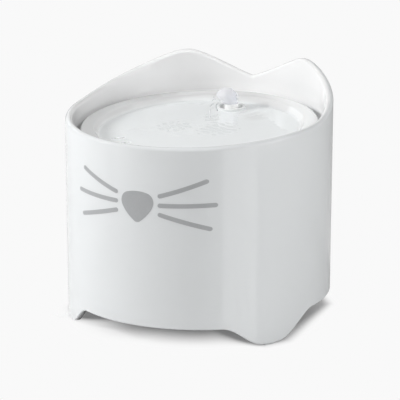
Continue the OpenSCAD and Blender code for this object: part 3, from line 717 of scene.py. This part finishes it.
def wall_section(a):
    """Outline of the wall at an angle from the front, once round from the lower outer edge."""
    low = edge_z(a)
    top = rim_base(a) + ear_rise(abs(a)) - RIM_ROUND
    step = rim_base(a) - WALL_STEP_DEPTH
    inner = BODY_R - WALL_T
    ledge = inner - LEDGE_W
    rows = 10
    points = rounded([(inner + 0.4 * MM, low, 0), (BODY_R, low, EDGE_R), (BODY_R, low + 4 * MM, 0)], 5)
    start = points[-1].y
    points += [Vector((BODY_R, start + (top - start) * i / rows)) for i in range(1, rows)]
    points += arc(BODY_R - RIM_ROUND, top, RIM_ROUND, 0, math.pi, 14)
    inside = [(BODY_R - RIM_T, top, 0), (BODY_R - RIM_T, step, 3 * MM), (inner, step - TAPER_H, 3 * MM),
              (inner, LEDGE_H, 0.9 * MM), (ledge, LEDGE_H, 0.7 * MM), (ledge, LEDGE_H - LEDGE_T, 0.7 * MM),
              (inner, LEDGE_H - LEDGE_T, 0.9 * MM), (inner, low, 0.5 * MM), (BODY_R, low, 0)]
    return points + rounded(inside, 4)[1:-1]


def around_body(p, a):
    return Vector((p.x * math.sin(math.radians(a)), -p.x * math.cos(math.radians(a)), p.y))


def make_housing():
    stations = 480
    form = Form()
    form.ring([[around_body(p, a) for p in wall_section(a if a <= 180 else a - 360)]
               for a in (360 * i / stations for i in range(stations))])
    form.piece("housing_shell", SHELL, "housing", ["housing"])


def make_foot_pads():
    """Four soft pads with rounded edges, let into the foot tips."""
    form = Form()
    sweep = 2 * FOOT_FLAT - 1
    steps = 16
    for middle in (FOOT_FRONT_ANGLE, FOOT_REAR_ANGLE, -FOOT_FRONT_ANGLE, -FOOT_REAR_ANGLE):
        rings = []
        for i in range(steps + 1):
            a = middle + sweep * (i / steps - 0.5)
            pinch = 0.25 * MM * (abs(2 * i / steps - 1) ** 8)
            inner, outer = BODY_R - WALL_T + EDGE_R + pinch, BODY_R - EDGE_R - pinch
            outline = rounded([(inner, pinch, 0.35 * MM), (outer, pinch, 0.35 * MM), (outer, PAD_H, 0.05 * MM),
                               (inner, PAD_H, 0.05 * MM)], 4, 0.1 * MM, closed=True)
            rings.append([around_body(p, a) for p in outline])
        made = form.skin(rings)
        form.fan(made[0])
        form.fan(made[-1])
    form.piece("soft_foot_pads", SILICONE, "housing", ["foot_pads"])


# ---- drinking tray ----

def slot_outline(grow):
    """Outline of a drain slot round its middle, grown by a margin."""
    r = DRAIN_W / 2 + grow
    half = (DRAIN_L - DRAIN_W) / 2
    quarter = math.pi / 2
    return arc(half, 0, r, -quarter, quarter, 8) + arc(-half, 0, r, quarter, 3 * quarter, 8)


def make_tray():
    floor = -BASIN_DEPTH
    under = floor - TRAY_T
    shoulder = rounded([(FLOOR_EDGE_R, floor, 0), (FOOT_R, floor, 2.5 * MM), (BAND_R, -BAND_DROP, 1.6 * MM),
                        (TRAY_R - LIP_T, -0.06 * MM, 0)], 6)
    lip = arc(TRAY_R - LIP_R, -LIP_R, LIP_R, math.pi / 2, -math.pi / 2, 12)
    shelf = -LIP_T - 0.8 * MM
    below = rounded([(TRAY_R - LIP_R, -LIP_T, 0), (SKIRT_R, -LIP_T, 0.8 * MM), (SKIRT_R, -SKIRT_H, 0.5 * MM),
                     (SKIRT_R - SKIRT_T, -SKIRT_H, 0.5 * MM), (SKIRT_R - SKIRT_T, shelf, 0.8 * MM),
                     (BAND_R + 1.6 * MM, shelf, 1 * MM), (FOOT_R + 0.9 * MM, under, 2 * MM),
                     (FLOOR_EDGE_R, under, 0)], 4)[1:]
    form = Form()
    rings = form.skin(turned(shoulder + lip + below, 288, TRAY_PLANE))
    boss_top, boss_low = floor + BOSS_H, under - BOSS_DROP
    boss = rounded([(BOSS_BASE_R, floor, 0), (BOSS_R, floor, 0.9 * MM), (BOSS_R, boss_top, 0.8 * MM),
                    (HOLE_R, boss_top, 0.6 * MM), (HOLE_R, boss_low, 0.3 * MM), (BOSS_R, boss_low, 0.3 * MM),
                    (BOSS_R, under, 0.3 * MM), (BOSS_BASE_R, under, 0)], 6, 0.2 * MM)
    boss_rings = form.skin(turned(boss, 96, TRAY_PLANE, (0, SPOUT_Y)))
    tops, bottoms = [rings[0], boss_rings[0]], [rings[-1], boss_rings[-1]]
    edge = 0.4 * MM
    levels = arc(edge, floor - edge, edge, math.pi / 2, math.pi, 4) + [(0, under + 0.02 * MM), (0, under)]
    for i in range(DRAIN_COUNT):
        way = math.radians(-90 + (i - (DRAIN_COUNT - 1) / 2) * DRAIN_STEP)
        place = TRAY_PLANE @ Matrix.Rotation(way, 4, "Z") @ Matrix.Translation((DRAIN_R, 0, 0))
        made = form.skin([[place @ Vector((p.x, p.y, z)) for p in slot_outline(grow)] for grow, z in levels])
        tops.append(made[0])
        bottoms.append(made[-1])
    form.fill(*tops)
    form.fill(*bottoms)
    form.piece("drinking_tray_moulding", TRAY_PLASTIC, "tray", ["drinking_tray"])


# ---- spout ----

def make_collar():
    bore = corners("riser_tube")[1].x + 0.05 * MM
    neck = bore - 1.4 * MM
    seat = COLLAR_TOP - 1.0 * MM
    outline = rounded([(bore, COLLAR_LOW.z, 0.15 * MM), (COLLAR_R, COLLAR_LOW.z, 0.3 * MM),
                       (COLLAR_R, COLLAR_TOP, 0.5 * MM), (neck, COLLAR_TOP, 0.3 * MM), (neck, seat, 0.15 * MM),
                       (bore, seat, 0.1 * MM)], 5, 0.1 * MM, closed=True)
    form = Form()
    form.ring(turned(outline, 96, centre=(0, SPOUT_Y)))
    form.piece("spout_ring", RING_PLASTIC, "nozzle", ["spout_collar"])


def make_cap():
    base = COLLAR_TOP + 0.05 * MM
    wall = 1.2 * MM
    centre_z = CAP_TOP - CAP_R
    start, opening = math.radians(-12), math.radians(70)
    foot = [(2.2 * MM, base), (COLLAR_R - 0.5 * MM, base), (COLLAR_R - 0.2 * MM, base + 0.3 * MM),
            (COLLAR_R - 0.25 * MM, base + 0.8 * MM), (COLLAR_R - 0.8 * MM, base + 2.4 * MM)]
    throat = [(COLLAR_R - 2.1 * MM, base + 2.4 * MM), (1.4 * MM, base + 1.5 * MM), (1.3 * MM, base - 2.8 * MM),
              (2.2 * MM, base - 2.8 * MM)]
    dome = arc(0, centre_z, CAP_R, start, opening, 14) + arc(0, centre_z, CAP_R - wall, opening, start, 12)
    form = Form()
    form.ring(turned(foot + dome + throat, 72, centre=(0, SPOUT_Y)))
    form.piece("clear_bubbler_cap", CLEAR_CAP, "nozzle", ["bubbler_cap"])


# ---- water ----

FILM_T = 2.0 * MM
FILM_EDGE_R = 68.8 * MM
FILM_SINK = 0.15 * MM
FILM_THINNEST = 0.25 * MM
# Rings of ripples: middle, radius where they are highest, height, length and reach
RINGS = [(Vector((0, SPOUT_Y)), BOSS_R, 0.16 * MM, 1.15 * MM, 16 * MM),
         (Vector((-2.4, 23.7)) * MM, 0.0, 0.45 * MM, 0.85 * MM, 7 * MM)]
# Patches of crossing waves: middle and reach
WAVE_PATCHES = [(Vector((-18, -3)) * MM, 12 * MM), (Vector((14, 0)) * MM, 13 * MM)]
BUMP = Vector((24.4, 39.2)) * MM


def falloff(d, size):
    return math.exp(-(d / size) ** 2)


def film_height(x, y):
    """Height of the water over the floor of the tray, in the plane of the tray."""
    p = Vector((x, y))
    from_boss = (p - Vector((0, SPOUT_Y))).length - BOSS_R
    h = FILM_T + 0.5 * MM * math.exp(-max(0, from_boss) / (1.1 * MM))
    for middle, start, height, length, reach in RINGS:
        r = (p - middle).length
        h += height * math.cos(r / length) * falloff(r - start, reach)
    for middle, reach in WAVE_PATCHES:
        d = p - middle
        wave = math.sin((d.y * 0.95 + d.x * 0.30) / (0.8 * MM) + 2.4 * noise.noise((d.x * 90, d.y * 90, 3)))
        cross = math.sin((d.y * 0.5 - d.x * 0.85) / (1.3 * MM))
        h += (0.42 * wave + 0.20 * cross) * MM * falloff(d.length, reach)
    h += 0.25 * MM * falloff((p - BUMP).length, 1.1 * MM)
    h += 0.10 * MM * noise.noise((x * 70, y * 70, 0)) + 0.05 * MM * noise.noise((x * 220, y * 220, 5))
    return max(h, FILM_THINNEST)


def make_film():
    """The sheet of water that runs over the floor of the tray, from the boss to the shoulder."""
    count, rows = 400, 90
    hole = BOSS_R - 0.15 * MM
    tops = []
    for row in range(rows + 1):
        ring = []
        for a in angles(count):
            c, s = math.cos(a), math.sin(a)
            reach = -SPOUT_Y * s + math.sqrt((SPOUT_Y * s) ** 2 + FILM_EDGE_R ** 2 - SPOUT_Y ** 2)
            r = hole + (reach - hole) * (row / rows)
            x, y = r * c, SPOUT_Y + r * s
            ring.append(TRAY_PLANE @ Vector((x, y, -BASIN_DEPTH + film_height(x, y))))
        tops.append(ring)
    form = Form()
    made = form.skin(tops)
    low = -BASIN_DEPTH - FILM_SINK
    outer = [TRAY_PLANE.inverted() @ v.co for v in made[-1]]
    under = [form.loop(circle(hole, low, count, TRAY_PLANE, (0, SPOUT_Y))),
             form.loop([TRAY_PLANE @ Vector((p.x, p.y, low)) for p in outer])]
    form.strip(made[0], under[0])
    form.strip(made[-1], under[1])
    form.fill(*under)
    form.piece("water_film", WATER, "tray")


# The dome leans to this side, and TOWARD is a quarter turn from there to the front
SPILL_ANGLE = math.radians(26)
LEAN = Vector((-math.cos(SPILL_ANGLE), -math.sin(SPILL_ANGLE), 0))
TOWARD = Vector((math.sin(SPILL_ANGLE), -math.cos(SPILL_ANGLE), 0))

# Form of the dome, in mm: height over the collar, reach to the side it leans to, to the other side, and ahead
DOME_FORM = [(0.3, 6.1, 3.6, 4.8), (2.8, 8.3, 3.7, 5.5), (5.6, 10.5, 3.4, 5.9), (7.8, 10.2, 2.5, 5.3),
             (9.4, 8.5, 1.3, 4.2), (10.4, 7.0, 0.7, 2.9), (10.8, 5.4, 0.0, 1.7)]


def dome_section(t):
    """A row of the form of the dome at t from 0 to 1, on a smooth curve through its points."""
    last = len(DOME_FORM) - 1
    i = min(int(t * last), last - 1)
    f = t * last - i
    rows = [DOME_FORM[max(0, min(last, i + k))] for k in (-1, 0, 1, 2)]
    return [b + 0.5 * f * (c - a + f * (2 * a - 5 * b + 4 * c - d + f * (3 * (b - c) + d - a)))
            for a, b, c, d in zip(*rows)]


def make_dome():
    """The bulb of water that wells up over the cap and leans to the side where it spills."""
    steps, count = 34, 84
    rings = []
    for step in range(steps + 1):
        up, lean, back, ahead = dome_section(step / steps)
        half = (lean + back) / 2
        middle = Vector((0, SPOUT_Y, COLLAR_TOP + up * MM)) + LEAN * ((lean - back) / 2) * MM
        ring = []
        for a in angles(count):
            lump = 1 + 0.09 * noise.noise((math.cos(a) * 1.4, math.sin(a) * 1.4, up * 0.3))
            ring.append(middle + (LEAN * math.cos(a) * half + TOWARD * math.sin(a) * ahead) * lump * MM)
        rings.append(ring)
    form = Form()
    made = form.skin(rings)
    form.fan(made[-1], sum((v.co for v in made[-1]), Vector()) / count + UP * 0.25 * MM)
    form.fan(made[0])
    form.piece("water_dome", WELLING_WATER, "nozzle")


# Places beside the spout, in mm: to the side that the dome leans to, ahead of it, and over the boss.
# Strands: three places on the curve of each, and the radii there
STRANDS = [
    ([(11.1, 3, 5.4), (12.6, 3, 5.1), (13.6, 3, 4.1)], [0.32, 0.3, 0.22]),
    ([(12.7, 4, 2.3), (14.0, 4.5, 1.6), (15.0, 5, 0.4)], [0.36, 0.3, 0.2]),
    ([(9.4, 5, 2.9), (10.7, 8, 1.4), (9.9, 11.5, -0.9)], [0.45, 0.5, 0.38]),
]
STREAM = ([(15.0, 23, 2.6), (15.2, 27, 1.2), (15.1, 31.5, -1.0)], [0.28, 0.36, 0.5])
# Drops: place and radius
DROPS = [((12.4, 3, 6.8), 0.45), ((8.2, 7, 5.4), 0.32), ((13.1, 14, 1.4), 0.28)]
DROP_AXIS = Vector((0.1, -0.4, -1))
DROP_SIDES = 12


def beside_spout(left, ahead, over):
    top = TRAY_PLANE @ Vector((0, SPOUT_Y, BOSS_H - BASIN_DEPTH))
    return top + (LEAN * left + TOWARD * ahead + UP * over) * MM


def facing(point, way):
    """A placement at a point with its own up along a way."""
    return Matrix.Translation(point) @ UP.rotation_difference(way.normalized()).to_matrix().to_4x4()


def smooth_path(a, b, c, steps=10):
    """Values on a curve that starts at a, passes b and ends at c."""
    middle = b * 2 - (a + c) / 2
    return [a * (1 - t) ** 2 + middle * 2 * t * (1 - t) + c * t ** 2 for t in (i / steps for i in range(steps + 1))]


def drop(form, centre, r):
    place = facing(centre, DROP_AXIS)
    rows = 8
    made = form.skin([circle(r * math.sin(a), -r * math.cos(a), DROP_SIDES, place)
                      for a in (math.pi * row / rows for row in range(1, rows))])
    form.fan(made[0], place @ Vector((0, 0, -r)))
    form.fan(made[-1], place @ Vector((0, 0, r)))


def strand(form, places, radii):
    """A closed tube of water."""
    path = smooth_path(*(beside_spout(*place) for place in places))
    made = form.skin([circle(r * MM, 0, DROP_SIDES, facing(p, ahead - back)) for p, r, back, ahead in
                      zip(path, smooth_path(*radii), path[:1] + path, path[1:] + path[-1:])])
    form.fan(made[0], path[0])
    form.fan(made[-1], path[-1])


def make_splash():
    """Drops and thin strands that fall from the dome to the film, and a stream further ahead."""
    form = Form()
    for places, radii in STRANDS:
        strand(form, places, radii)
    for place, r in DROPS:
        drop(form, beside_spout(*place), r * MM)
    form.piece("falling_water", FALLING_WATER, "tray")
    form = Form()
    strand(form, *STREAM)
    form.piece("falling_stream", WELLING_WATER, "tray")


# ---- filter ----

def borders(grid):
    return grid[0], grid[-1], [line[0] for line in grid], [line[-1] for line in grid]


def make_filter_pad(name, node):
    """A needled pad with tucked edges and small lumps on both faces."""
    low, high = corners(node)
    size = high - low
    rows, columns = 36, 40
    form = Form()
    faces = []
    for face_y, inward, layer in ((low.y, 1, 1), (high.y, -1, 7)):
        grid = []
        for v in (j / rows for j in range(rows + 1)):
            line = []
            for u in (i / columns for i in range(columns + 1)):
                x, z = low.x + size.x * u, low.z + size.z * v
                near = min(min(u, 1 - u) * size.x, min(v, 1 - v) * size.z)
                tuck = 0.5 * MM * (1 - math.sin(min(1, near / (1.2 * MM)) * math.pi / 2))
                lump = 0.06 * MM * abs(noise.noise((x * 160, z * 160, layer)))
                line.append((x, face_y + inward * (tuck + lump), z))
            grid.append(line)
        faces.append(borders(form.skin(grid, closed=False)))
    for a, b in zip(*faces):
        form.strip(a, b, closed=False)
    pad = form.piece(name, FELT, "cartridge", [node])


# ---- carried-over parts of the frame ----

FINISHES = [
    (INK, ["nose_print", "whisker_prints"]),
    (TANK_PLASTIC, ["water_tank"]),
    (BOX_PLASTIC, ["filter_box", "riser_tube"]),
    (FRAME_PLASTIC, ["cartridge_frame"]),
    (GRANULES, ["carbon_core"]),
    (PUMP_PLASTIC, ["pump_body"]),
    (COVER_PLASTIC, ["pump_cover"]),
    (DIAL_PLASTIC, ["flow_dial"]),
    (IMPELLER_PLASTIC, ["impeller"]),
    (FERRITE, ["rotor_magnet"]),
    (CERAMIC, ["impeller_shaft"]),
    (RUBBER, ["cable_grommet", "suction_cups", "rear_bush", "front_bush"]),
]


def finish_frame_parts():
    for material, nodes in FINISHES:
        for node in nodes:
            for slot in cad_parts[node].material_slots:
                slot.material = material


# ---- camera, light and floor ----

CAMERA_AZIMUTH = 25.9716
CAMERA_ELEVATION = 14.5143
CAMERA_DISTANCE = 1220.946 * MM
CAMERA_LENS = 161.27
AIM_HEIGHT = 75 * MM
AIM_RIGHT = 0.6529 * MM
AIM_UP = 2.196 * MM

LIGHT_AIM = Vector((0, 0, 80 * MM))
LIGHT_DISTANCE = 1.3

# name: azimuth, elevation, width, height, watts
SOFT_BOXES = {
    "key_left": (-62, 28, 0.22, 0.22, 11.6),
    "low_left": (-84, 2, 0.6, 0.7, 4.6),
    "low_right": (84, 3, 0.6, 0.7, 4.4),
    "front": (26, 45, 0.6, 0.6, 3.0),
    "front_right": (60, 45, 0.6, 0.6, 2.2),
    "side_right": (100, 45, 0.6, 0.6, 2.2),
    "top": (0, 88, 1.2, 1.2, 2.0),
}

# name: azimuth on the wall where the image of the card starts and ends, and strength
TABLE_CARDS = {
    "card_left": (-66, -11.7, 0.6),
    "card_right": (36, 51, 1.7),
}
CARD_REACH = 1.2
CARD_STEPS = 24
KEY_CARD = 7.0
KEY_CARD_SIZE = 0.17
BACK_CARD = 0.7
BACK_CARD_SWEEP = 130
BACK_CARD_HEIGHTS = (0.40, 0.80)

AMBIENT = 0.12
BACKDROP = 0.947


def direction(azimuth, elevation=0.0):
    """From the fountain outwards, in degrees; azimuth 0 is in front of the face and 90 on its right-hand side."""
    azimuth, elevation = math.radians(azimuth), math.radians(elevation)
    return Vector((math.sin(azimuth) * math.cos(elevation), -math.cos(azimuth) * math.cos(elevation),
                   math.sin(elevation)))


def aimed(name, data, middle, out, distance):
    """A camera or lamp that looks back at a middle from a distance."""
    obj = with_settings(bpy.data.objects.new(name, data), location=middle + out * distance,
                        rotation_mode="QUATERNION", rotation_quaternion=(-out).to_track_quat("-Z", "Y"))
    bpy.context.scene.collection.objects.link(obj)
    return obj


def make_camera():
    back = direction(CAMERA_AZIMUTH, CAMERA_ELEVATION)
    right = direction(CAMERA_AZIMUTH + 90)
    aim = UP * AIM_HEIGHT + right * AIM_RIGHT + back.cross(right) * AIM_UP
    data = with_settings(bpy.data.cameras.new("camera"), lens=CAMERA_LENS, sensor_width=36, clip_start=0.05,
                         clip_end=20)
    bpy.context.scene.camera = aimed("camera", data, aim, back, CAMERA_DISTANCE)


def make_soft_boxes():
    for name, (azimuth, elevation, width, height, watts) in SOFT_BOXES.items():
        data = with_settings(bpy.data.lights.new(name, "AREA"), shape="RECTANGLE", size=width, size_y=height,
                             energy=watts)
        lamp = aimed(name, data, LIGHT_AIM, direction(azimuth, elevation), LIGHT_DISTANCE)
        lamp.visible_glossy = name not in ("key_left", "low_left")


def gloss_card(name, strength, near, far):
    """A bright card between two lines of points, which only the gloss of the pieces sees."""
    mat, tree = new_material(name)
    show(tree, emission(tree, strength))
    form = Form()
    form.skin([near, far], closed=False)
    card = form.object(name, mat)
    card.visible_camera = card.visible_diffuse = card.visible_shadow = card.visible_transmission = False


def make_gloss_cards():
    """Cards on the table that show as upright strips in the gloss, one behind and one at the key light."""
    parts = [i / CARD_STEPS for i in range(CARD_STEPS + 1)]
    for name, (start, end, strength) in TABLE_CARDS.items():
        near, far = [], []
        for part in parts:
            wall = start + (end - start) * part
            ray = direction(2 * wall - CAMERA_AZIMUTH)
            foot = direction(wall) * BODY_R + UP * MM
            near.append(foot + ray * 2 * MM)
            far.append(foot + ray * CARD_REACH)
        gloss_card(name, strength, near, far)
    sweep = [direction(CAMERA_AZIMUTH + 180 + BACK_CARD_SWEEP * (part - 0.5)) * CARD_REACH for part in parts]
    gloss_card("card_back", BACK_CARD, *([p + UP * height for p in sweep] for height in BACK_CARD_HEIGHTS))
    azimuth, elevation = SOFT_BOXES["key_left"][:2]
    out = direction(azimuth, elevation)
    across = direction(azimuth + 90) * KEY_CARD_SIZE / 2
    rise = out.cross(across).normalized() * KEY_CARD_SIZE / 2
    middle = LIGHT_AIM + out * LIGHT_DISTANCE
    gloss_card("card_key", KEY_CARD, *([middle + edge - across, middle + edge + across] for edge in (-rise, rise)))


def make_world():
    """A pale backdrop for what the camera and the clear parts see, and soft light for the rest."""
    world = bpy.data.worlds.new("studio")
    world.use_nodes = True
    tree = world.node_tree
    tree.nodes.clear()
    path = add(tree, "ShaderNodeLightPath").outputs
    seen = maths(tree, "MAXIMUM", path["Is Camera Ray"], path["Is Transmission Ray"])
    soft, pale = (add(tree, "ShaderNodeBackground", {"Color": grey(1), "Strength": strength})
                  for strength in (AMBIENT, BACKDROP))
    add(tree, "ShaderNodeOutputWorld", {"Surface": mix_shaders(tree, seen, soft, pale).outputs[0]})
    bpy.context.scene.world = world


FLOOR_R = 1.6
FLOOR_COLOR = grey(0.80)
# Floor colour of the painted shade on the side away from the key light
PAINTED_FLOOR_SHADE = grey(0.45)
FLOOR_LIT = 0.12
FLOOR_SIDES = 240

# The shadow on the floor: where it ends, how far further in under the arches, and how soft its edge is
SHADE_EDGE = 90.5 * MM
SHADE_IN_FRONT = 26 * MM
SHADE_IN_SIDE = 11 * MM
SHADE_SIDE_MIDDLE = 94
SHADE_SIDE_HALF = 28
SHADE_OUT_LEFT = 6 * MM
SHADE_LEFT_FROM = 20
SHADE_SOFT = 5 * MM
SHADE_SOFTER_FRONT = 16 * MM
# Azimuth where the painted shade on the floor is darkest
SHADE_DARK_SIDE = 104


def shade_cover(r, azimuth):
    """How much of the shadow the floor keeps: it ends at the feet and further in under the arches."""
    a = abs(azimuth)
    if FOOT_FRONT_ANGLE < a < FOOT_REAR_ANGLE:
        end = SHADE_EDGE - SHADE_IN_SIDE * max(0, 1 - ((a - SHADE_SIDE_MIDDLE) / SHADE_SIDE_HALF) ** 2)
        soft = SHADE_SOFT
    else:
        arch = (edge_z(a) - PAD_H) / (ARCH_LOW_H - PAD_H)
        end = SHADE_EDGE - SHADE_IN_FRONT * arch ** 0.6
        end += SHADE_OUT_LEFT * min(1, max(0, -azimuth / SHADE_LEFT_FROM))
        soft = SHADE_SOFT + SHADE_SOFTER_FRONT * arch
    t = min(1, max(0, (r - end + soft) / (2 * soft)))
    return 1 - t * t * (3 - 2 * t)


def shade_dark(azimuth):
    """How much painted shade darkens the floor colour on the side away from the key light."""
    return max(0, math.cos(math.radians(azimuth - SHADE_DARK_SIDE))) ** 4


def make_floor():
    """A pale round floor that keeps the shadow, with painted shade on the side away from the key light, and fades
    into the backdrop.
    """
    mat, tree = new_material("pale_floor")
    cover, dark = (add(tree, "ShaderNodeAttribute", attribute_name=name).outputs["Fac"]
                   for name in ("shade_cover", "shade_dark"))
    camera_ray = add(tree, "ShaderNodeLightPath").outputs["Is Camera Ray"]
    plain = add(tree, "ShaderNodeBsdfDiffuse", {"Color": FLOOR_COLOR})
    # Painted shade: the floor colour darkens on the side away from the key light
    shaded = add(tree, "ShaderNodeBsdfDiffuse", {"Color": mixed(tree, dark, FLOOR_COLOR, PAINTED_FLOOR_SHADE)})
    lit = add(tree, "ShaderNodeAddShader", {0: shaded.outputs[0], 1: emission(tree, FLOOR_LIT).outputs[0]})
    kept = mix_shaders(tree, camera_ray, plain, lit)
    away = times(tree, minus(tree, 1.0, cover), camera_ray)
    show(tree, mix_shaders(tree, away, kept, emission(tree, BACKDROP)))
    radii = [(20 + 2.5 * i) * MM for i in range(41)] + [FLOOR_R]
    form = Form()
    form.fan(form.skin([circle(r, 0, FLOOR_SIDES) for r in radii])[0])
    floor = form.object("studio_floor", mat)
    places = [(v.co.length, math.degrees(math.atan2(v.co.x, -v.co.y))) for v in floor.data.vertices]
    shades = {"shade_cover": [shade_cover(r, azimuth) for r, azimuth in places],
              "shade_dark": [shade_dark(azimuth) for r, azimuth in places]}
    for name, values in shades.items():
        floor.data.attributes.new(name, "FLOAT", "POINT").data.foreach_set("value", values)


def main():
    make_camera()
    make_world()
    make_soft_boxes()
    make_gloss_cards()
    make_floor()
    finish_frame_parts()
    make_housing()
    make_foot_pads()
    make_tray()
    make_collar()
    make_cap()
    make_film()
    make_dome()
    make_splash()
    make_filter_pad("front_felt_pad", "cotton_pad_front")
    make_filter_pad("rear_felt_pad", "cotton_pad_rear")
    bpy.context.scene.view_settings.view_transform = "Standard"


main()
